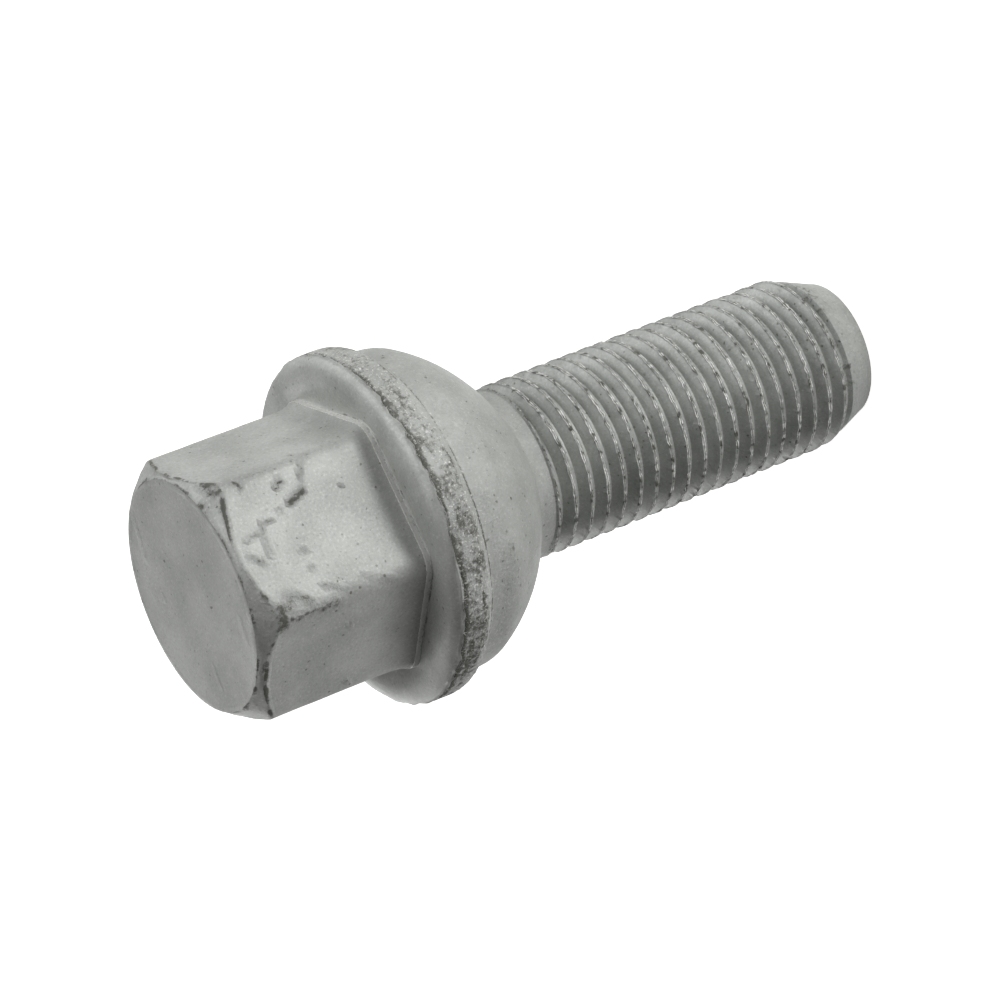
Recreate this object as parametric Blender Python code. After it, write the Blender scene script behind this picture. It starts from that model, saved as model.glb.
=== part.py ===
"""Wheel bolt: M14 x 1.5 with a ball seat, a fixed flange and a 19 mm hexagon head.

The bolt stands on its threaded tip. The origin is the centre of the tip's face, +Z runs to the head.
"""

import math

import bmesh
import bpy

MM = 0.001

# Thread
THREAD_DIAMETER = 13.94 * MM
THREAD_PITCH = 1.5 * MM
THREAD_DEPTH = 0.87 * MM
THREAD_CREST_WIDTH = 0.2 * MM
THREAD_ROOT_WIDTH = 0.35 * MM
THREAD_START = 0.9 * MM  # height of a crest on the +X side
THREAD_FADE = 0.45 * MM  # length over which the last groove closes

# Tip
TIP_REDUCTION = 1.6 * MM  # from the crests in to the cone's small end
TIP_TAPER = math.radians(21.3)  # from the axis to the cone's side
TIP_EDGE_RADIUS = 0.25 * MM

# Neck and ball seat
SHANK_LENGTH = 38.8 * MM  # tip face to the wide end of the ball seat
RING_RELIEF = 0.12 * MM  # from the crests in to the ring left where the rolling stopped
NECK_RELIEF = 0.32 * MM  # from the crests in to the neck
NECK_LENGTH = 1.64 * MM  # end of the thread to where the seat would meet the neck
NECK_FILLET = 0.8 * MM
SEAT_RADIUS = 14.1 * MM
SEAT_WIDEST = math.radians(25)  # where the ball stops below its own widest circle
COLLAR_HEIGHT = 2.15 * MM

# Flange
FLANGE_OVERHANG = 1.12 * MM  # rim beyond the collar
FLANGE_THICKNESS = 3.9 * MM
FLANGE_BACK_BEVEL = 0.9 * MM
FLANGE_FRONT_RADIUS = 1.1 * MM
FLANGE_DISH = 0.25 * MM  # how far the front face sinks towards the hexagon

# Hexagon head
HEAD_HEIGHT = 14.1 * MM  # flange's front to the end face
HEX_ACROSS_FLATS = 18.85 * MM
HEX_CORNER_RADIUS = 1.5 * MM
END_FACE_INSET = 0.475 * MM  # from the flats in to the end face
END_CHAMFER = math.radians(41)  # from the end face to the chamfer
LIP_OVERHANG = 0.375 * MM  # lip beyond the flats
LIP_HEIGHT = 0.4 * MM
BASE_FILLET_HEIGHT = 2.3 * MM

# Mesh
STEPS_ROUND = 48
CORNER_STEPS = 3
WELD = 0.002 * MM

# Radii and heights above the tip face, worked out from the sizes above
CREST = THREAD_DIAMETER / 2
ROOT = CREST - THREAD_DEPTH
TIP = CREST - TIP_REDUCTION
RING = CREST - RING_RELIEF
NECK = CREST - NECK_RELIEF
COLLAR = SEAT_RADIUS * math.cos(SEAT_WIDEST)
RIM = COLLAR + FLANGE_OVERHANG
SEAT_CENTRE = SHANK_LENGTH + SEAT_RADIUS * math.sin(SEAT_WIDEST)
THREAD_END = SEAT_CENTRE - math.sqrt(SEAT_RADIUS**2 - NECK**2) - NECK_LENGTH
FLANGE_BACK = SHANK_LENGTH + COLLAR_HEIGHT
FLANGE_FRONT = FLANGE_BACK + FLANGE_THICKNESS
DISH_HEIGHT = FLANGE_FRONT - FLANGE_DISH
HALF_FLATS = HEX_ACROSS_FLATS / 2
LIP = HALF_FLATS + LIP_OVERHANG
HEAD_END = FLANGE_FRONT + HEAD_HEIGHT


def clear_scene():
    for obj in list(bpy.data.objects):
        bpy.data.objects.remove(obj, do_unlink=True)


def new_collection(name):
    collection = bpy.data.collections.new(name)
    bpy.context.scene.collection.children.link(collection)
    return collection


def coated_steel():
    """Forged steel under a matt grey zinc-flake coating."""
    material = bpy.data.materials.new("zinc_flake_coated_steel")
    material.use_nodes = True
    shader = material.node_tree.nodes["Principled BSDF"]
    shader.inputs["Base Color"].default_value = (0.44, 0.45, 0.44, 1)
    shader.inputs["Metallic"].default_value = 0.85
    shader.inputs["Roughness"].default_value = 0.5
    return material


def new_object(name, shape, collection, material):
    """An object made from a bmesh, with its faces turned outwards."""
    bmesh.ops.recalc_face_normals(shape, faces=shape.faces)
    mesh = bpy.data.meshes.new(name)
    shape.to_mesh(mesh)
    shape.free()
    mesh.materials.append(material)
    obj = bpy.data.objects.new(name, mesh)
    collection.objects.link(obj)
    return obj


def join(target, other, operation):
    boolean = target.modifiers.new(other.name, "BOOLEAN")
    boolean.object = other
    boolean.operation = operation
    boolean.solver = "EXACT"
    other.hide_render = True
    other.display_type = "WIRE"


def arc(centre_radius, centre_height, radius, start, end, steps):
    """Profile points of an arc. Angles are in degrees, 0 points outwards and 90 towards the head."""
    angles = [math.radians(start + (end - start) * i / steps) for i in range(steps + 1)]
    return [
        (centre_radius + radius * math.cos(a), centre_height + radius * math.sin(a))
        for a in angles
    ]


def spin(shape, profile, steps, rise=0.0, start_angle=0.0):
    """Turns a profile of (radius, height) points once about Z, climbing by rise on the way."""
    turn_x = math.cos(start_angle)
    turn_y = math.sin(start_angle)
    verts = [shape.verts.new((r * turn_x, r * turn_y, z)) for r, z in profile]
    edges = [shape.edges.new(pair) for pair in zip(verts, verts[1:])]
    bmesh.ops.spin(
        shape,
        geom=verts + edges,
        cent=(0, 0, 0),
        axis=(0, 0, 1),
        dvec=(0, 0, rise / steps),
        angle=2 * math.pi,
        steps=steps,
    )


def tip_radius(height):
    return TIP + height * math.tan(TIP_TAPER)


def thread_profile():
    """Crest and root flats of every turn, from below the tip to above the neck."""
    turns = math.ceil(THREAD_END / THREAD_PITCH) + 1
    points = []
    for turn in range(-2, turns + 1):
        middle = THREAD_START + turn * THREAD_PITCH
        points.append((CREST, middle - THREAD_CREST_WIDTH / 2))
        points.append((CREST, middle + THREAD_CREST_WIDTH / 2))
        points.append((ROOT, middle + (THREAD_PITCH - THREAD_ROOT_WIDTH) / 2))
        points.append((ROOT, middle + (THREAD_PITCH + THREAD_ROOT_WIDTH) / 2))
    return points


def fit_thread_between_ends(verts):
    """Cuts the turns to the tip's cone, and closes the grooves where the rolling stopped."""
    for vert in verts:
        height = min(max(vert.co.z, TIP_EDGE_RADIUS), THREAD_END)
        radius = math.hypot(vert.co.x, vert.co.y)
        closing = max(0.0, 1 - (THREAD_END - height) / THREAD_FADE)
        floor = ROOT + closing * (RING - ROOT)
        ceiling = CREST - closing * (CREST - RING)
        fitted = min(max(radius, floor), ceiling, tip_radius(height))
        vert.co.x *= fitted / radius
        vert.co.y *= fitted / radius
        vert.co.z = height


def tip_profile():
    """The flat end face and the edge that leads to the cone."""
    edge = tip_radius(TIP_EDGE_RADIUS)
    return [
        (0.0, 0.0),
        (edge - 1.2 * TIP_EDGE_RADIUS, 0.0),
        (edge - 0.5 * TIP_EDGE_RADIUS, 0.2 * TIP_EDGE_RADIUS),
        (edge, TIP_EDGE_RADIUS),
    ]


def neck_and_seat_profile():
    """The plain neck, the fillet into the ball seat, and the seat up to its collar."""
    reach = SEAT_RADIUS + NECK_FILLET
    fillet_centre = SEAT_CENTRE - math.sqrt(reach**2 - (NECK + NECK_FILLET) ** 2)
    touch = math.degrees(math.asin((SEAT_CENTRE - fillet_centre) / reach))
    return [
        (RING, THREAD_END),
        (NECK, THREAD_END + RING - NECK),
        *arc(NECK + NECK_FILLET, fillet_centre, NECK_FILLET, 180, 180 - touch, 3),
        *arc(0, SEAT_CENTRE, SEAT_RADIUS, -touch, -math.degrees(SEAT_WIDEST), 9)[1:],
    ]


def flange_profile():
    """The collar above the seat, the flange's rim, and its dished front face."""
    bevel = min(FLANGE_BACK_BEVEL, FLANGE_OVERHANG)
    edge_radius = RIM - FLANGE_FRONT_RADIUS
    edge_height = FLANGE_FRONT - FLANGE_FRONT_RADIUS
    return [
        (COLLAR, SHANK_LENGTH),
        (COLLAR, FLANGE_BACK),
        (RIM - 0.1 * bevel, FLANGE_BACK + bevel),
        (RIM, FLANGE_BACK + 1.6 * bevel),
        *arc(edge_radius, edge_height, FLANGE_FRONT_RADIUS, 0, 90, 4),
        (LIP, DISH_HEIGHT),
        (0.0, DISH_HEIGHT),
    ]


def turned_body():
    """Tip, thread, neck, ball seat and flange as one closed skin."""
    shape = bmesh.new()
    spin(shape, thread_profile(), STEPS_ROUND, rise=THREAD_PITCH)
    fit_thread_between_ends(shape.verts)
    spin(shape, tip_profile(), STEPS_ROUND)
    spin(shape, neck_and_seat_profile(), STEPS_ROUND)
    spin(shape, flange_profile(), STEPS_ROUND)
    bmesh.ops.remove_doubles(shape, verts=shape.verts, dist=WELD)
    bmesh.ops.dissolve_degenerate(shape, edges=shape.edges, dist=WELD)
    return shape


def hex_profile():
    """Half the distance across flats at each height: lip, base fillet, then the straight flats."""
    sunk = FLANGE_BACK + FLANGE_THICKNESS / 2
    above = HEAD_END + END_FACE_INSET
    lip_top = DISH_HEIGHT + LIP_HEIGHT
    points = [(0.0, sunk), (LIP, sunk)]
    for share in (0.0, 0.1, 0.25, 0.5, 1.0):
        flare = LIP_OVERHANG * (1 - share) ** 3
        points.append((HALF_FLATS + flare, lip_top + share * BASE_FILLET_HEIGHT))
    return points + [(HALF_FLATS, above), (0.0, above)]


def hexagon():
    """The wrench hexagon: its profile turned in six steps, with the corners rounded."""
    shape = bmesh.new()
    to_corner = 1 / math.cos(math.pi / 6)
    profile = [(r * to_corner, z) for r, z in hex_profile()]
    spin(shape, profile, 6, start_angle=math.pi / 6)
    bmesh.ops.remove_doubles(shape, verts=shape.verts, dist=WELD)
    corners = [
        edge
        for edge in shape.edges
        if abs(edge.verts[0].co.z - edge.verts[1].co.z) > WELD
    ]
    bmesh.ops.bevel(
        shape,
        geom=corners,
        affect="EDGES",
        offset=HEX_CORNER_RADIUS * math.tan(math.pi / 6),
        offset_type="OFFSET",
        segments=CORNER_STEPS,
        profile=0.5,
        clamp_overlap=True,
        material=-1,
    )
    return shape


def end_chamfer():
    """A turned solid that the hexagon is trimmed to: the end face and the cone round it."""
    shape = bmesh.new()
    face = HALF_FLATS - END_FACE_INSET
    wide = 2 * HALF_FLATS
    profile = [
        (0.0, FLANGE_BACK),
        (wide, FLANGE_BACK),
        (wide, HEAD_END - (wide - face) * math.tan(END_CHAMFER)),
        (face, HEAD_END),
        (0.0, HEAD_END),
    ]
    spin(shape, profile, STEPS_ROUND)
    bmesh.ops.remove_doubles(shape, verts=shape.verts, dist=WELD)
    return shape


def build():
    clear_scene()
    bolt_collection = new_collection("wheel_bolt")
    cutters = new_collection("cutters")
    steel = coated_steel()
    bolt = new_object("wheel_bolt", turned_body(), bolt_collection, steel)
    head = new_object("hexagon_head", hexagon(), cutters, steel)
    chamfer = new_object("end_chamfer", end_chamfer(), cutters, steel)
    join(head, chamfer, "INTERSECT")
    join(bolt, head, "UNION")


build()
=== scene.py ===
"""A wheel bolt standing on its threaded tip, in soft light. Heights and radii are in millimetres."""

import math

import bmesh
import bpy
import numpy as np
from mathutils import Matrix, Vector, noise


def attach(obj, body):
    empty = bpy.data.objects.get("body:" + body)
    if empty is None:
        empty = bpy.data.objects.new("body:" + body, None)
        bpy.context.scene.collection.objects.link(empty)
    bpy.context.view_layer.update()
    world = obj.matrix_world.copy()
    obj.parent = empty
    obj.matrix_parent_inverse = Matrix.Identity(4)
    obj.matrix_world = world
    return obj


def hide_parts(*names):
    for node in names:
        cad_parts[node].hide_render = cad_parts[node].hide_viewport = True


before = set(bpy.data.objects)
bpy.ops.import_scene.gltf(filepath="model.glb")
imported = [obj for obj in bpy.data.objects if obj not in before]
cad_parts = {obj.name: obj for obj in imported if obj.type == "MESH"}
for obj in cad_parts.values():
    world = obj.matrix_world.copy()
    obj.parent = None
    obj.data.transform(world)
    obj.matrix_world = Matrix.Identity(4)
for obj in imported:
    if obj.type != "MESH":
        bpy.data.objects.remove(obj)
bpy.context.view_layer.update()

MM = 0.001

# Camera: a long lens on the head's side of the bolt, rolled so that the head lies to the lower left
# and the tip to the right.
CAMERA_DISTANCE = 382.4
CAMERA_TURN = math.radians(-8.5)
CAMERA_RISE = math.radians(27.6)
CAMERA_PIVOT_HEIGHT = 30.0
CAMERA_AIM_SIDE = -1.63
CAMERA_AIM_HEIGHT = 32.23
CAMERA_ROLL = math.radians(-111.27)
CAMERA_LENS = 180.6
CAMERA_SENSOR = 36

outward = Vector((math.cos(CAMERA_TURN), math.sin(CAMERA_TURN), 0))
sideways = Vector((-math.sin(CAMERA_TURN), math.cos(CAMERA_TURN), 0))
eye = outward * CAMERA_DISTANCE * math.cos(CAMERA_RISE)
eye.z = CAMERA_PIVOT_HEIGHT + CAMERA_DISTANCE * math.sin(CAMERA_RISE)
aim = sideways * CAMERA_AIM_SIDE
aim.z = CAMERA_AIM_HEIGHT
forward = (aim - eye).normalized()
level = forward.cross(Vector((0, 0, 1))).normalized()
upright = level.cross(forward)
right = math.cos(CAMERA_ROLL) * level + math.sin(CAMERA_ROLL) * upright
up = math.cos(CAMERA_ROLL) * upright - math.sin(CAMERA_ROLL) * level
camera_data = bpy.data.cameras.new("camera")
camera_data.lens = CAMERA_LENS
camera_data.sensor_width = CAMERA_SENSOR
camera_data.clip_start = 0.01
camera = bpy.data.objects.new("camera", camera_data)
camera.matrix_world = Matrix.Translation(eye * MM) @ Matrix((right, up, -forward)).transposed().to_4x4()
bpy.context.scene.collection.objects.link(camera)
bpy.context.scene.camera = camera
bpy.context.scene.view_settings.view_transform = "Standard"


def linear(hex_colour):
    """An sRGB hex colour as linear RGBA."""
    parts = [int(hex_colour[i : i + 2], 16) / 255 for i in (1, 3, 5)]
    return tuple(c / 12.92 if c <= 0.04045 else ((c + 0.055) / 1.055) ** 2.4 for c in parts) + (1.0,)


def add_node(tree, kind, settings=None, inputs=None):
    """Adds a node, sets its properties and inputs, and links an input that is given as a socket."""
    node = tree.nodes.new(kind)
    for name, value in (settings or {}).items():
        setattr(node, name, value)
    for name, value in (inputs or {}).items():
        if isinstance(value, bpy.types.NodeSocket):
            tree.links.new(value, node.inputs[name])
        else:
            node.inputs[name].default_value = value
    return node


# Floor: a sheet of pale card that runs past the view on all sides. It shows white to the camera and
# half as bright in reflections, and keeps the bolt's soft shadow.
FLOOR_SIZE = 4.0
FLOOR_WHITE = "#ededeb"
FLOOR_GLOW = 0.9
REFLECTED_SHARE = 0.5

floor_shape = bmesh.new()
bmesh.ops.create_grid(floor_shape, x_segments=1, y_segments=1, size=FLOOR_SIZE / 2)
floor_mesh = bpy.data.meshes.new("floor")
floor_shape.to_mesh(floor_mesh)
floor_shape.free()
floor = bpy.data.objects.new("floor", floor_mesh)
bpy.context.scene.collection.objects.link(floor)

card = bpy.data.materials.new("pale_card")
card.use_nodes = True
tree = card.node_tree
tree.nodes.clear()
path = add_node(tree, "ShaderNodeLightPath")
mirrored = add_node(
    tree,
    "ShaderNodeMath",
    {"operation": "MAXIMUM"},
    {0: path.outputs["Is Glossy Ray"], 1: path.outputs["Is Transmission Ray"]},
)
mirrored = add_node(
    tree, "ShaderNodeMath", {"operation": "MULTIPLY"}, {0: mirrored.outputs[0], 1: REFLECTED_SHARE}
)
seen = add_node(
    tree,
    "ShaderNodeMath",
    {"operation": "MAXIMUM"},
    {0: path.outputs["Is Camera Ray"], 1: mirrored.outputs[0]},
)
glow = add_node(tree, "ShaderNodeMath", {"operation": "MULTIPLY"}, {0: seen.outputs[0], 1: FLOOR_GLOW})
paper = add_node(tree, "ShaderNodeBsdfDiffuse", None, {"Color": linear(FLOOR_WHITE)})
shine = add_node(tree, "ShaderNodeEmission", None, {"Strength": glow.outputs[0]})
both = add_node(tree, "ShaderNodeAddShader", None, {0: paper.outputs[0], 1: shine.outputs[0]})
add_node(tree, "ShaderNodeOutputMaterial", None, {"Surface": both.outputs[0]})
floor_mesh.materials.append(card)

# Light: wide soft lamps above, to the left and behind, and a small one at floor level in front. The
# small one shines up past the flange, which keeps its light off the foot of the hexagon.
LAMP_AIM = 0.04  # height in metres that every lamp points at
LAMPS = (  # name, turn in degrees, distance, height and size in metres, power in watts
    ("top_lamp", 50, 0.3, 0.555, 0.5, 1.6),
    ("left_lamp", 110, 0.52, 0.335, 0.5, 1.33),
    ("back_lamp", 190, 0.6, 0.077, 0.5, 2.13),
    ("front_lamp", 10, 0.085, 0.0, 0.04, 0.05),
)

for name, turn, distance, height, size, power in LAMPS:
    lamp = bpy.data.lights.new(name, "AREA")
    lamp.shape = "DISK"
    lamp.size = size
    lamp.energy = power
    lamp_object = bpy.data.objects.new(name, lamp)
    turn = math.radians(turn)
    lamp_object.location = (distance * math.cos(turn), distance * math.sin(turn), height)
    back = lamp_object.location - Vector((0, 0, LAMP_AIM))
    lamp_object.rotation_euler = back.to_track_quat("Z", "Y").to_euler()
    bpy.context.scene.collection.objects.link(lamp_object)

# Surround: white to the camera behind the floor's far edge, faint in reflections, and fainter still
# as light on the bolt.
SURROUND_LIGHT = 0.03
SURROUND_MIRRORED = 0.03  # added to that in reflections

surround = bpy.data.worlds.new("surround")
surround.use_nodes = True
tree = surround.node_tree
path = add_node(tree, "ShaderNodeLightPath")
mirrored = add_node(
    tree,
    "ShaderNodeMath",
    {"operation": "MAXIMUM"},
    {0: path.outputs["Is Glossy Ray"], 1: path.outputs["Is Transmission Ray"]},
)
mirrored = add_node(
    tree,
    "ShaderNodeMath",
    {"operation": "MULTIPLY_ADD"},
    {0: mirrored.outputs[0], 1: SURROUND_MIRRORED, 2: SURROUND_LIGHT},
)
seen = add_node(
    tree,
    "ShaderNodeMath",
    {"operation": "MAXIMUM"},
    {0: path.outputs["Is Camera Ray"], 1: mirrored.outputs[0]},
)
tree.nodes["Background"].inputs["Color"].default_value = (1, 1, 1, 1)
tree.links.new(seen.outputs[0], tree.nodes["Background"].inputs["Strength"])
bpy.context.scene.world = surround

# Hexagon head: forged hot on the same blank as the rest, and grown here ring by ring from the flange's
# front. Its flats flare at the base to a thin lip, its corners are rounded, and its end is chamfered.
COLUMNS = 216
FLANGE = 13.9
FLANGE_FRONT = 44.85
FRONT_FLAT = 12.0  # radius at which the front starts to round over
FRONT_DROP = 1.15
DISH = 0.25  # how far the flange's front sinks towards the hexagon
HALF_FLATS = 9.425
CORNER = 1.5
CORNER_GROWTH = 2.0  # the corners' radius grows this much faster than the flats flare
FOOT_CORNER = 2.4  # corner radius of the dish round the lip
LIP = 9.87  # half across flats, outside the lip
LIP_HEIGHT = 0.52
LIP_ROUND = 0.07
FLARE_HEIGHT = 2.2
HEAD_END = 58.95
END_FACE = 9.15
END_ROUND = 0.12
CHAMFER = math.radians(41)
CHAMFER_START = 8.97  # radius at which the chamfer's cone would meet the end face
CHAMFER_LEAN = 0.2  # the chamfer was struck askew, deeper on the -Y side
CHAMFER_WOBBLE = 0.1
CHAMFER_LUMPS = 9.0  # the higher, the shorter the waves along the chamfer's edge
FLATS_SHARE = 0.985  # the last ring of the flats stops just short of the chamfer
FLAT_RINGS = 34
END_RINGS = 20
EDGE_DIRT = 0.45
END_DIRT = 0.38
DIRT_SPREAD = 1.3  # how unevenly the dirt lies along an edge
DIRT_LUMPS = 0.8  # waves of it in a millimetre

bolt = bmesh.new()
grime_and_shade = bolt.verts.layers.float.new("grime_and_shade")
bare_and_highlight = bolt.verts.layers.float.new("bare_and_highlight")


def polar(vert):
    """Radius, height and azimuth of a vertex, in millimetres and radians."""
    x, y, z = vert.co
    return math.hypot(x, y) / MM, z / MM, math.atan2(y, x)


def place(vert, radius, height, azimuth):
    vert.co = (radius * math.cos(azimuth) * MM, radius * math.sin(azimuth) * MM, height * MM)


def hex_radius(half_flats, corner, azimuth):
    """Radius of a hexagon with rounded corners, which point 30 degrees off +X and every 60 on."""
    off_corner = abs(azimuth % (math.pi / 3) - math.pi / 6)
    centre = (half_flats - corner) / math.cos(math.pi / 6)
    tangent = math.atan2(corner / 2, centre + corner * math.cos(math.pi / 6))
    if off_corner < tangent:
        across = centre * math.sin(off_corner)
        return centre * math.cos(off_corner) + math.sqrt(corner**2 - across**2)
    return half_flats / math.cos(math.pi / 6 - off_corner)


def chamfer_foot(azimuth):
    """Height at which the end's cone leaves the flats and corners."""
    outside = hex_radius(HALF_FLATS, CORNER, azimuth) - CHAMFER_START
    around = Vector((math.cos(azimuth), math.sin(azimuth), 0))
    wobble = noise.noise(around * CHAMFER_LUMPS) * CHAMFER_WOBBLE
    return HEAD_END - outside * math.tan(CHAMFER) + CHAMFER_LEAN * math.sin(azimuth) + wobble


def next_ring(ring, where, dirt_and_shade=0.0, wear_and_highlight=0.0):
    """Extrudes the ring and puts each new vertex where its azimuth says: (radius, height)."""
    made = bmesh.ops.extrude_edge_only(bolt, edges=ring)["geom"]
    verts = {item for item in made if isinstance(item, bmesh.types.BMVert)}
    for vert in verts:
        azimuth = polar(vert)[2]
        radius, height = where(azimuth)
        place(vert, radius, height, azimuth)
        vert[grime_and_shade] = dirt_and_shade * (1 + DIRT_SPREAD * noise.noise(vert.co / MM * DIRT_LUMPS))
        vert[bare_and_highlight] = wear_and_highlight
    return [
        item
        for item in made
        if isinstance(item, bmesh.types.BMEdge) and item.verts[0] in verts and item.verts[1] in verts
    ]


first_ring = bmesh.ops.create_circle(bolt, segments=COLUMNS, radius=FRONT_FLAT * MM)["verts"]
ring = list({edge for vert in first_ring for edge in vert.link_edges})
for vert in first_ring:
    vert.co.z = FLANGE_FRONT * MM
dish = FLANGE_FRONT - DISH
for share in (0.25, 0.5, 0.75, 0.9):
    ring = next_ring(
        ring,
        lambda a, s=share: (
            (1 - s) * FRONT_FLAT + s * hex_radius(LIP, FOOT_CORNER, a),
            FLANGE_FRONT - DISH * s,
        ),
    )
lip_top = dish + LIP_HEIGHT
lip_rings = [  # half across flats, height, dirt and painted shade, wear and painted highlight
    # The lip's foot, in the corner where it meets the dish, is darkened as painted shade.
    (LIP + 0.1, dish, 0.3, 0.0),
    (LIP + 0.02, dish + 0.03, 0.3, 0.0),
    # The lip's face and top are made bright through the wear column as a painted highlight.
    (LIP, dish + 0.1, 0.1, 1.0),
    (LIP, lip_top - LIP_ROUND, 0.1, 1.1),
    (LIP - 0.3 * LIP_ROUND, lip_top - 0.3 * LIP_ROUND, 0.1, 1.1),
    (LIP - LIP_ROUND, lip_top, 0.0, 0.9),
]
for share in (0.05, 0.1, 0.16, 0.24, 0.33, 0.45, 0.6, 0.8, 1.0):
    flared = HALF_FLATS + (LIP - LIP_ROUND - HALF_FLATS) * (1 - share) ** 3
    lip_rings.append((flared, lip_top + share * FLARE_HEIGHT, 0.0, 0.0))
for half_flats, height, dirt_and_shade, wear_and_highlight in lip_rings:
    corner = CORNER + CORNER_GROWTH * max(0.0, half_flats - HALF_FLATS)
    ring = next_ring(
        ring, lambda a, f=half_flats, c=corner, h=height: (hex_radius(f, c, a), h), dirt_and_shade, wear_and_highlight
    )

flats_start = lip_top + FLARE_HEIGHT
for step in range(1, FLAT_RINGS + 1):
    share = FLATS_SHARE * step / FLAT_RINGS
    ring = next_ring(
        ring,
        lambda a, s=share: (
            hex_radius(HALF_FLATS, CORNER, a),
            flats_start + s * (chamfer_foot(a) - flats_start),
        ),
        EDGE_DIRT if step == FLAT_RINGS else 0.0,
    )
chamfer_rings = (  # share of the way to the end face, how far the edge is rounded off, dirt
    (0.0, 0.04, 0.48),
    (0.15, 0.0, 0.22),
    (0.4, 0.0, 0.12),
    (0.65, 0.0, 0.12),
    (0.85, 0.0, 0.25),
)
for share, rounded, dirt_and_shade in chamfer_rings:
    ring = next_ring(
        ring,
        lambda a, s=share, w=rounded: (
            hex_radius(HALF_FLATS, CORNER, a) * (1 - s) + END_FACE * s - w,
            chamfer_foot(a) * (1 - s) + (HEAD_END - END_ROUND) * s,
        ),
        dirt_and_shade,
    )
ring = next_ring(ring, lambda a: (END_FACE, HEAD_END - END_ROUND), END_DIRT)
ring = next_ring(ring, lambda a: (END_FACE - 0.3 * END_ROUND, HEAD_END - 0.3 * END_ROUND), END_DIRT)
for step in range(END_RINGS):
    radius = (END_FACE - END_ROUND) * (1 - step / END_RINGS)
    ring = next_ring(ring, lambda a, r=radius: (r, HEAD_END), 0.2 if step == 0 else 0.0)
bmesh.ops.contextual_create(bolt, geom=ring)


def spin_profile(points, rise=0.0):
    """Turns (radius, height, grime and painted shade, bare) points once about the bolt's axis and returns
    the new verts.
    """
    before = set(bolt.verts)
    verts = []
    for radius, height, dirt_and_shade, wear_and_highlight in points:
        vert = bolt.verts.new((radius * MM, 0, height * MM))
        vert[grime_and_shade] = dirt_and_shade
        vert[bare_and_highlight] = wear_and_highlight
        verts.append(vert)
    edges = [bolt.edges.new(pair) for pair in zip(verts, verts[1:])]
    bmesh.ops.spin(
        bolt,
        geom=verts + edges,
        axis=(0, 0, 1),
        cent=(0, 0, 0),
        dvec=(0, 0, rise * MM / COLUMNS),
        angle=2 * math.pi,
        steps=COLUMNS,
        use_merge=rise == 0,
    )
    return [vert for vert in bolt.verts if vert not in before]


def arc(centre_radius, centre_height, radius, start, end, steps):
    """Points of an arc in the bolt's section. 0 degrees points outwards and 90 towards the head."""
    angles = [math.radians(start + (end - start) * i / steps) for i in range(steps + 1)]
    return [
        (centre_radius + radius * math.cos(angle), centre_height + radius * math.sin(angle))
        for angle in angles
    ]


# Flange: squeezed out between the forging dies. They met near its front edge, which is left ragged and
# packed with dark dirt, and the rim below that line has the pitted skin of hot steel.
COLLAR = 12.84
FLANGE_BACK = 40.95
PARTING = 44.02  # height of the ragged line
PARTING_REACH = 0.5  # how far above and below the line its raggedness is felt
PARTING_WAVES = ((0.35, 0.3), (1.1, 0.2), (2.9, 0.12))  # waves in a millimetre, and their height
FOLD_DEPTH = 0.3
NOISE_CIRCLE = 14.0  # radius at which the noise round the rim is read
RIM_STEP = 0.22
RIM_DIRT = 0.38
RIM_BARE = 0.81
RIM_PITS = 0.06
FRONT_BARE = 0.7
FRONT_POWER = 2.5  # of the superellipse in which the front rounds over
SHADE_SIDE_SHARE = 0.1  # painted shade: the rim is painted lighter by this share on the bolt's +Y side, towards the lamps, and darker on its -Y side
DIRT_PATCHES = 0.45
rim_points = [  # radius, height, dirt
    (COLLAR, FLANGE_BACK - 0.15, 0.2),
    (COLLAR + 0.03, FLANGE_BACK, 0.55),
    (COLLAR + 0.1, FLANGE_BACK + 0.06, 0.4),
    (COLLAR + 0.4, FLANGE_BACK + 0.3, 0.25),
    (COLLAR + 0.7, FLANGE_BACK + 0.6, 0.3),
    (FLANGE - 0.18, FLANGE_BACK + 0.8, 0.4),
    (FLANGE - 0.08, FLANGE_BACK + 1.05, 0.4),
]
rim_points += [(FLANGE - 0.03, FLANGE_BACK + 1.25, RIM_DIRT)]
rim_points += [(FLANGE, FLANGE_BACK + 1.25 + RIM_STEP * i, RIM_DIRT) for i in range(1, 6)]
rim_points += [
    (FLANGE - 0.02, PARTING - 0.5, 0.4),
    (FLANGE - 0.03, PARTING - 0.3, 0.5),
    (FLANGE - 0.08, PARTING - 0.14, 0.6),
    (FLANGE - 0.13, PARTING - 0.04, 0.72),
    (FLANGE - 0.03, PARTING + 0.03, 0.5),
    (FLANGE - 0.05, PARTING + 0.12, 0.25),
]
front = []
for share in (0.985, 0.96, 0.92, 0.87, 0.8, 0.7, 0.6, 0.48, 0.35, 0.2, 0.0):
    fall = FRONT_DROP * (1 - (1 - share**FRONT_POWER) ** (1 / FRONT_POWER))
    front.append((FRONT_FLAT + (FLANGE - FRONT_FLAT) * share, FLANGE_FRONT - fall))
rim_points += [(r, z, 0.15 if i < 3 else 0.05) for i, (r, z) in enumerate(front)]
rim_points = [(r, z, dirt_and_shade, RIM_BARE if z < PARTING else FRONT_BARE) for r, z, dirt_and_shade in rim_points]
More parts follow.
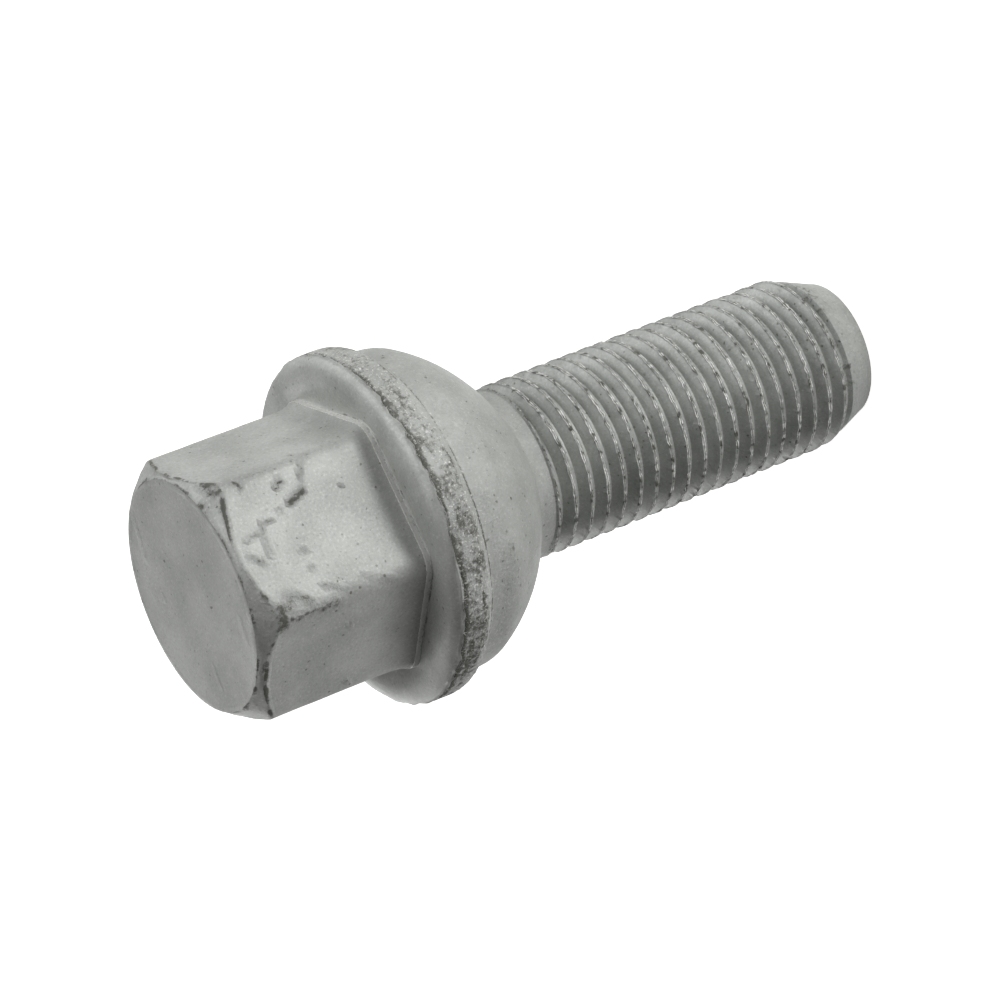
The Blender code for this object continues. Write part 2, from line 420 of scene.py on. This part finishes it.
for vert in spin_profile(rim_points):
    radius, height, azimuth = polar(vert)
    ragged = max(0.0, 1 - abs(height - PARTING) / PARTING_REACH)
    at = Vector((math.cos(azimuth), math.sin(azimuth), 0)) * NOISE_CIRCLE
    wander = sum(noise.noise(at * waves) * rise for waves, rise in PARTING_WAVES)
    fold = ragged**2 * max(0.0, noise.noise(at * 0.8 + Vector((0, 0, height)))) * FOLD_DEPTH
    patch = noise.noise(Vector((at.x * 0.5, at.y * 0.5, height * 1.5)))
    # Painted shade: the dark colour is thinned on the +Y side and deepened on the -Y side, away from the
    # lamps; the patches are random dirt.
    vert[grime_and_shade] *= 1 - SHADE_SIDE_SHARE * math.sin(azimuth) + DIRT_PATCHES * patch
    if height < FLANGE_BACK or radius < FRONT_FLAT + 0.01:
        continue  # shared with the seat and with the head's first ring
    pitted = noise.noise(Vector((at.x * 1.6, at.y * 1.6, height * 4))) * RIM_PITS
    pitted *= min(1.0, vert[grime_and_shade] * 2)
    place(vert, min(radius - fold + pitted, FLANGE), height + ragged * wander, azimuth)

# Ball seat and neck: smooth, and turned in one with the shank. The ball sits in the wheel's cup, and it
# runs out into the collar under the flange with only a faint edge.
SEAT = 14.1
SEAT_CENTRE = 44.76
SEAT_END = -27.5  # degrees below the ball's middle at which it runs out into the collar
SEAT_DIRT = 0.25
SEAT_BARE = 0.72
NECK = 6.65
NECK_FILLET = 0.8
NECK_LENGTH = 1.64
RING = 6.85  # where the rolling of the thread stopped
RING_DIRT = 0.4
reach = SEAT + NECK_FILLET
fillet_centre = SEAT_CENTRE - math.sqrt(reach**2 - (NECK + NECK_FILLET) ** 2)
touch = math.degrees(math.asin((SEAT_CENTRE - fillet_centre) / reach))
THREAD_END = SEAT_CENTRE - math.sqrt(SEAT**2 - NECK**2) - NECK_LENGTH
seat_points = [(RING, THREAD_END), (RING - 0.04, THREAD_END + 0.08), (NECK + 0.02, THREAD_END + 0.22)]
seat_points += arc(NECK + NECK_FILLET, fillet_centre, NECK_FILLET, 180, 180 - touch, 8)
seat_points += arc(0, SEAT_CENTRE, SEAT, -touch, SEAT_END, 30)[1:]
seat_points += [(12.64, 38.6), (12.72, 39.0), (12.77, 39.5), (12.8, 40.0), (12.82, 40.4)]
seat_points += [(COLLAR, FLANGE_BACK - 0.15)]
ring_top = THREAD_END + 0.1
spin_profile([(r, z, RING_DIRT if z < ring_top else SEAT_DIRT, SEAT_BARE) for r, z in seat_points])

# Tip: a plain cone that leads the thread into the hub, with a small rounded edge at the flat end.
TIP = 5.37
TIP_TAPER = math.radians(21.3)
TIP_EDGE = 0.25
TIP_DIRT = 0.1
tip_edge = TIP + TIP_EDGE * math.tan(TIP_TAPER)
spin_profile(
    [
        (0.0, 0.0, 0.0, 0.0),
        (tip_edge - 1.2 * TIP_EDGE, 0.0, TIP_DIRT, 0.0),
        (tip_edge - 0.8 * TIP_EDGE, 0.02, TIP_DIRT, 0.0),
        (tip_edge - 0.4 * TIP_EDGE, 0.3 * TIP_EDGE, TIP_DIRT, 0.0),
        (tip_edge - 0.1 * TIP_EDGE, 0.6 * TIP_EDGE, TIP_DIRT, 0.0),
        (tip_edge, TIP_EDGE, TIP_DIRT, 0.0),
    ]
)

# Thread: rolled between dies, not cut. The metal rises from both sides of each crest and closes on a
# fine dark seam, and the two lips beside it are rubbed bright and nicked by other bolts.
PITCH = 1.5
CREST = 6.97
DEPTH = 0.87
CREST_AT = 0.95  # height of a crest on the +X side
CREST_TOP = 0.15  # this much of the metal under a crest's top is nicked and wavy
CREST_WAVES = ((0.6, 0.06), (2.8, 0.1))  # waves in a millimetre, and their height
NICK_DEPTH = 0.4
BITE_DEPTH = 0.08
MOST_BARE = 1.1
FADE = 0.45  # height over which the groove closes at the ring
TIP_BLOTCHES = 0.35
TURN_SECTION = (  # step along the bolt from the crest's middle, depth under its top, dirt and painted shade, wear
    (-0.67, 0.87, 0.0, 0.0),
    # These three rows, on each crest's tip side, are darkened as painted shadow that the crest casts
    # there.
    (-0.4, 0.41, 0.08, 0.0),
    (-0.22, 0.15, 0.42, 0.0),
    (-0.15, 0.03, 0.42, 0.5),
    (-0.07, 0.0, 0.28, 1.1),
    (0.0, 0.06, 0.5, 0.5),
    (0.07, 0.0, 0.28, 1.1),
    (0.13, 0.03, 0.35, 0.7),
    (0.18, 0.1, 0.1, 0.2),
    (0.4, 0.41, 0.0, 0.0),
    (0.67, 0.87, 0.0, 0.0),
)
section = []
for turn in range(-2, math.ceil(THREAD_END / PITCH) + 2):
    for along, below, dirt_and_shade, wear_and_highlight in TURN_SECTION:
        section.append((CREST - below, CREST_AT + turn * PITCH + along, dirt_and_shade, wear_and_highlight))
for vert in spin_profile(section, rise=PITCH):
    radius, height, azimuth = polar(vert)
    on_crest = max(0.0, 1 - (CREST - radius) / CREST_TOP)
    at = Vector((math.cos(azimuth) * 7, math.sin(azimuth) * 7, height))
    height += on_crest * sum(noise.noise(at * waves) * rise for waves, rise in CREST_WAVES)
    nick = NICK_DEPTH * max(0.0, noise.noise(at * 0.9 + Vector((5, 0, 0))) - 0.3)
    nick += BITE_DEPTH * noise.noise(at * 3.1)
    vert[grime_and_shade] += on_crest * max(0.0, noise.noise(at * 2.2 + Vector((0, 9, 0))) - 0.15)
    rubbed_here = 0.9 + 1.4 * noise.noise(at * 2.3 + Vector((0, 0, 7)))
    vert[bare_and_highlight] *= min(MOST_BARE, max(0.0, rubbed_here))
    height = min(max(height, TIP_EDGE), THREAD_END)
    closing = max(0.0, 1 - (THREAD_END - height) / FADE)
    floor_radius = CREST - DEPTH + closing * (RING - CREST + DEPTH)
    ceiling = CREST + closing * (RING - CREST)
    cone = TIP + height * math.tan(TIP_TAPER)
    if cone < CREST - 0.3 * DEPTH:
        vert[bare_and_highlight] = 0.0
        vert[grime_and_shade] = TIP_DIRT
    if CREST - DEPTH < cone < CREST - 0.3 * DEPTH:
        vert[grime_and_shade] = max(0.0, 0.22 + TIP_BLOTCHES * noise.noise(at * 0.9))
    place(vert, min(max(radius - on_crest * nick, floor_radius), ceiling, cone), height, azimuth)

# Skin: all of it in one piece, closed, with crisp edges where it turns sharply.
SAME_PLACE = 0.002
TOO_SHORT = 0.001
CRISP = math.radians(33)

bmesh.ops.remove_doubles(bolt, verts=bolt.verts, dist=SAME_PLACE * MM)
bmesh.ops.dissolve_degenerate(bolt, edges=bolt.edges, dist=TOO_SHORT * MM)
bmesh.ops.recalc_face_normals(bolt, faces=bolt.faces)
for face in bolt.faces:
    face.smooth = True
for edge in bolt.edges:
    edge.smooth = edge.calc_face_angle(0) < CRISP
bolt_mesh = bpy.data.meshes.new("bolt")
bolt.to_mesh(bolt_mesh)
bolt.free()
bolt_piece = bpy.data.objects.new("bolt", bolt_mesh)
bpy.context.scene.collection.objects.link(bolt_piece)
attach(bolt_piece, "root")
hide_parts("wheel_bolt")

# Marks of use: wrench bites, knocks and scratches, filled with old dirt. Each runs between two places,
# given as azimuth in degrees, radius and height, and has a width and a strength.
MARKS = (
    ((14.3, 9.7, 52.9), (17.1, 9.9, 51.6), 0.42, 1.0),
    ((22.0, 10.2, 53.4), (24.0, 10.3, 52.9), 0.35, 0.8),
    ((28.0, 10.5, 50.7), (22.5, 10.2, 51.3), 0.3, 0.7),
    ((10.8, 9.6, 55.7), (10.2, 9.6, 54.8), 0.25, 0.7),
    ((10.8, 9.6, 55.7), (5.4, 9.5, 55.9), 0.25, 0.7),
    ((5.4, 9.5, 55.9), (-4.2, 9.5, 56.0), 0.25, 0.7),
    ((5.4, 9.5, 57.3), (7.3, 9.5, 56.1), 0.25, 0.6),
    ((12.6, 9.7, 53.9), (12.6, 9.7, 53.7), 0.25, 0.6),
    ((-7.3, 9.5, 53.5), (-7.3, 9.5, 53.3), 0.4, 0.5),
    ((-1.8, 9.4, 57.5), (-6.1, 9.5, 56.8), 0.4, 0.6),
    ((-15.4, 9.8, 53.5), (-15.0, 9.8, 53.3), 0.35, 0.5),
    ((-23.5, 10.3, 53.2), (-24.5, 10.4, 52.8), 0.35, 0.6),
    ((-25.5, 10.4, 52.3), (-26.5, 10.4, 52.0), 0.3, 0.6),
    ((13.1, 9.7, 48.6), (13.1, 9.7, 48.6), 0.22, 0.6),
    ((-8.4, 9.5, 47.1), (-8.4, 9.5, 47.1), 0.22, 0.6),
    ((36.7, 10.5, 51.3), (31.5, 10.6, 50.8), 0.35, 0.6),
    ((34.0, 10.6, 53.9), (29.3, 10.6, 53.4), 0.35, 0.6),
    ((30.3, 10.6, 56.3), (27.0, 10.5, 56.0), 0.4, 0.8),
    ((38.7, 10.1, 58.1), (29.1, 10.2, 57.9), 0.6, 0.8),
    ((-25.1, 10.3, 50.0), (-30.8, 10.6, 47.8), 0.4, 0.45),
    ((-24.3, 10.4, 55.3), (-27.8, 10.5, 54.6), 0.5, 0.7),
    ((-27.0, 10.4, 57.2), (-34.0, 10.5, 57.0), 0.8, 0.9),
    ((-32.2, 10.6, 52.5), (-32.2, 10.6, 57.2), 0.7, 0.65),
    ((-24.0, 10.3, 56.0), (-30.0, 10.5, 57.3), 1.0, 0.6),
    ((24.0, 9.9, 57.8), (36.0, 10.3, 57.5), 0.7, 0.5),
    ((30.0, 10.6, 49.0), (30.0, 10.6, 56.0), 0.5, 0.5),
    ((-47.0, 11.0, 37.2), (-56.0, 11.6, 36.6), 0.7, 0.6),
    ((-30.0, 11.2, 36.5), (-34.0, 11.8, 37.2), 0.6, 0.5),
    ((5.0, 12.4, 38.1), (-6.0, 12.2, 37.6), 0.5, 0.5),
    ((28.0, 11.0, 36.2), (22.0, 11.4, 36.8), 0.5, 0.5),
    ((-37.0, 10.4, 57.8), (-58.0, 9.5, 58.6), 0.5, 0.75),
    ((-46.9, 9.7, 51.0), (-48.0, 9.6, 51.2), 0.3, 0.5),
    ((-83.0, 10.2, 51.0), (-86.0, 10.4, 50.6), 0.3, 0.5),
    ((115.0, 8.7, 58.95), (137.0, 6.6, 58.95), 0.3, 0.5),
    ((-108.0, 5.6, 58.95), (-106.0, 7.3, 58.95), 0.3, 0.45),
    ((-32.0, 7.3, 58.95), (-43.0, 7.6, 58.95), 0.3, 0.45),
    ((164.0, 5.0, 58.95), (164.0, 5.2, 58.95), 0.4, 0.45),
    ((-41.9, 13.9, 42.2), (-47.5, 13.9, 42.1), 0.3, 1.0),
    ((-24.0, 13.9, 43.7), (-40.0, 13.9, 43.7), 0.45, 0.9),
    ((-58.4, 13.9, 43.2), (-76.0, 13.9, 43.2), 0.6, 0.9),
    ((-31.5, 12.7, 38.7), (-48.3, 12.4, 38.1), 0.3, 0.7),
    ((-34.7, 12.8, 39.7), (-50.4, 12.7, 39.5), 0.5, 0.5),
    ((-19.7, 10.1, 35.1), (-28.1, 9.4, 34.5), 0.35, 0.5),
    ((-44.8, 6.97, 26.4), (-44.8, 6.9, 26.1), 0.28, 1.0),
    ((-41.3, 6.97, 27.8), (-41.3, 6.9, 27.5), 0.28, 1.0),
    ((-51.2, 6.8, 4.9), (-51.2, 6.8, 4.8), 0.28, 1.0),
    ((-16.7, 6.97, 23.5), (-17.5, 6.97, 23.4), 0.2, 0.8),
)
MARK_DIRT = 0.66
MARK_DEPTH = 0.1
MARK_SPREAD = 1.2  # widths from a mark's middle at which it ends
UNEVENNESS = 0.02  # how far the forged skin strays from true
SKIN_WAVES = ((0.45, 1.0), (1.7, 0.4))  # waves in a millimetre, and their share
SKIN_FROM = 31.5  # the rolled thread and the neck's foot stay true
END_FADE = 0.3


def at_polar(azimuth, radius, height):
    turn = math.radians(azimuth)
    return np.array((radius * math.cos(turn), radius * math.sin(turn), height))


count = len(bolt_mesh.vertices)
spots = np.empty(count * 3)
bolt_mesh.vertices.foreach_get("co", spots)
spots = spots.reshape(-1, 3) / MM
dirt_and_shade = np.empty(count)
bolt_mesh.attributes["grime_and_shade"].data.foreach_get("value", dirt_and_shade)
sink = np.zeros(count)
for start, end, width, strength in MARKS:
    first = at_polar(*start)
    run = at_polar(*end) - first
    share = np.clip((spots - first) @ run / max(run @ run, 1e-9), 0, 1)
    away = np.linalg.norm(spots - first - share[:, None] * run, axis=1) / width
    hold = MARK_DIRT * strength * np.clip(MARK_SPREAD - away, 0, 1)
    dirt_and_shade = np.maximum(dirt_and_shade, hold)
    sink = np.maximum(sink, hold)
bolt_mesh.attributes["grime_and_shade"].data.foreach_set("value", dirt_and_shade)
outwards = [vert.normal.copy() for vert in bolt_mesh.vertices]
for vert, outward_here, depth in zip(bolt_mesh.vertices, outwards, sink):
    at = vert.co / MM
    uneven = UNEVENNESS * sum(share * noise.noise(at * waves) for waves, share in SKIN_WAVES)
    uneven *= min(max(at.z - SKIN_FROM, 0.0), 1.0) * min(max((HEAD_END - at.z) / END_FADE, 0.0), 1.0)
    vert.co = (at + outward_here * (uneven - depth * MARK_DEPTH)) * MM

# Zinc-flake coating: flat metal flakes baked in a grey binder, sprayed thin over the forged skin. It
# looks matt and a little cloudy, dark where dirt has packed in and where shade is painted, and bright
# where the steel shows and where a highlight is painted. In the nodes' inputs, Map Range turns 0 from
# the range 1 to 2 into the range 3 to 4, and Mix goes by 0 from colour 6 to colour 7.
COATING = linear("#c2c4c1")
COATING_DULL = linear("#adafac")
# The dark dirt colour, also used as painted shade at the lip's foot, on each crest's tip side and on the
# rim's -Y side.
DIRT_AND_SHADE = linear("#5e5d54")
STAIN = linear("#82827a")
# Bare steel, also used as a painted highlight along the lip at the hexagon's foot.
BARE_AND_HIGHLIGHT = linear("#f0f0ed")
CLOUD_MM = 5.0  # patches of thicker and thinner spray
FLAKE_MM = 0.22  # drawn coarser than real flakes so that it shows
CRUST_MM = 0.4  # grains of packed dirt
SPECK_MM = 0.8  # one pit or none in each cell of this size
RELIEF_MM = 0.4

coating = bpy.data.materials.new("zinc_flake_coating")
coating.use_nodes = True
tree = coating.node_tree
shader = tree.nodes["Principled BSDF"]
object_space = add_node(tree, "ShaderNodeTexCoord").outputs["Object"]
places = add_node(
    tree, "ShaderNodeMapping", None, {"Vector": object_space, "Scale": (1 / MM, 1 / MM, 1 / MM)}
).outputs["Vector"]
cloud = add_node(
    tree,
    "ShaderNodeTexNoise",
    None,
    {"Vector": places, "Scale": 1 / CLOUD_MM, "Detail": 5.0, "Roughness": 0.65},
).outputs["Fac"]
flake = add_node(
    tree,
    "ShaderNodeTexNoise",
    None,
    {"Vector": places, "Scale": 1 / FLAKE_MM, "Detail": 3.0, "Roughness": 0.7},
).outputs["Fac"]
crust = add_node(
    tree,
    "ShaderNodeTexNoise",
    None,
    {"Vector": places, "Scale": 1 / CRUST_MM, "Detail": 6.0, "Roughness": 0.7},
).outputs["Fac"]
speck = add_node(
    tree, "ShaderNodeTexVoronoi", None, {"Vector": places, "Scale": 1 / SPECK_MM, "Randomness": 1.0}
).outputs["Distance"]
held_dirt_and_shade = add_node(tree, "ShaderNodeAttribute", {"attribute_name": "grime_and_shade"}).outputs["Fac"]
rubbed_and_highlight = add_node(tree, "ShaderNodeAttribute", {"attribute_name": "bare_and_highlight"}).outputs["Fac"]

# Binder and flakes: two greys in cloudy patches, with single flakes lying darker and brighter.
cloudy = add_node(tree, "ShaderNodeMapRange", None, {0: cloud, 1: 0.36, 2: 0.64}).outputs[0]
skin = add_node(
    tree, "ShaderNodeMix", {"data_type": "RGBA"}, {0: cloudy, 6: COATING_DULL, 7: COATING}
).outputs[2]
dark_flakes = add_node(
    tree, "ShaderNodeMapRange", None, {0: flake, 1: 0.55, 2: 0.75, 3: 0.0, 4: 0.45}
).outputs[0]
skin = add_node(
    tree, "ShaderNodeMix", {"data_type": "RGBA"}, {0: dark_flakes, 6: skin, 7: STAIN}
).outputs[2]
bright_flakes = add_node(
    tree, "ShaderNodeMapRange", None, {0: flake, 1: 0.45, 2: 0.25, 3: 0.0, 4: 0.4}
).outputs[0]
skin = add_node(
    tree, "ShaderNodeMix", {"data_type": "RGBA"}, {0: bright_flakes, 6: skin, 7: BARE_AND_HIGHLIGHT}
).outputs[2]

# Specks: small irregular pits with dirt in them, more of them where the coating is thin.
pit_size = add_node(
    tree, "ShaderNodeMapRange", None, {0: crust, 1: 0.4, 2: 0.7, 3: 0.02, 4: 0.25}
).outputs[0]
pit = add_node(tree, "ShaderNodeMath", {"operation": "SUBTRACT"}, {0: pit_size, 1: speck}).outputs[0]
pit = add_node(tree, "ShaderNodeMapRange", None, {0: pit, 1: -0.02, 2: 0.03}).outputs[0]
dense = add_node(
    tree, "ShaderNodeMapRange", None, {0: cloud, 1: 0.56, 2: 0.46, 3: 0.3, 4: 1.0}
).outputs[0]
pit = add_node(tree, "ShaderNodeMath", {"operation": "MULTIPLY"}, {0: pit, 1: dense}).outputs[0]
skin = add_node(tree, "ShaderNodeMix", {"data_type": "RGBA"}, {0: pit, 6: skin, 7: STAIN}).outputs[2]

# Dirt, painted shade and bare steel: dirt and painted shade pack in grains where the mesh holds them,
# and rubbed places and the painted highlight shine in flecks.
packed_dirt_and_shade = add_node(tree, "ShaderNodeMath", {"operation": "ADD"}, {0: held_dirt_and_shade, 1: crust}).outputs[0]
packed_dirt_and_shade = add_node(
    tree, "ShaderNodeMapRange", None, {0: packed_dirt_and_shade, 1: 0.86, 2: 1.04, 3: 0.0, 4: 0.8}
).outputs[0]
skin = add_node(tree, "ShaderNodeMix", {"data_type": "RGBA"}, {0: packed_dirt_and_shade, 6: skin, 7: DIRT_AND_SHADE}).outputs[2]
shine_and_highlight = add_node(tree, "ShaderNodeMath", {"operation": "ADD"}, {0: rubbed_and_highlight, 1: flake}).outputs[0]
shine_and_highlight = add_node(tree, "ShaderNodeMapRange", None, {0: shine_and_highlight, 1: 1.36, 2: 1.5}).outputs[0]
skin = add_node(tree, "ShaderNodeMix", {"data_type": "RGBA"}, {0: shine_and_highlight, 6: skin, 7: BARE_AND_HIGHLIGHT}).outputs[2]
tree.links.new(skin, shader.inputs["Base Color"])

# Shine: the flakes make the binder partly metallic and matt, dirt and painted shade take the metal away,
# and bare steel and the painted highlight are smoother.
metallic = add_node(
    tree, "ShaderNodeMapRange", None, {0: packed_dirt_and_shade, 1: 0.0, 2: 1.0, 3: 0.6, 4: 0.05}
).outputs[0]
tree.links.new(metallic, shader.inputs["Metallic"])
roughness = add_node(
    tree, "ShaderNodeMapRange", None, {0: shine_and_highlight, 1: 0.0, 2: 1.0, 3: 0.58, 4: 0.38}
).outputs[0]
roughness = add_node(
    tree, "ShaderNodeMath", {"operation": "MULTIPLY_ADD"}, {0: packed_dirt_and_shade, 1: 0.25, 2: roughness}
).outputs[0]
tree.links.new(roughness, shader.inputs["Roughness"])

# Relief: a faint grain of flakes all over, and crusty grains where dirt and painted shade are held.
crusted = add_node(
    tree, "ShaderNodeMath", {"operation": "MULTIPLY"}, {0: held_dirt_and_shade, 1: 1.8}
).outputs[0]
fine_relief = add_node(
    tree, "ShaderNodeMath", {"operation": "MULTIPLY"}, {0: flake, 1: 0.08}
).outputs[0]
relief = add_node(
    tree, "ShaderNodeMath", {"operation": "MULTIPLY_ADD"}, {0: crust, 1: crusted, 2: fine_relief}
).outputs[0]
bump = add_node(
    tree, "ShaderNodeBump", None, {"Height": relief, "Distance": RELIEF_MM * MM, "Strength": 0.7}
)
tree.links.new(bump.outputs["Normal"], shader.inputs["Normal"])
bolt_mesh.materials.append(coating)
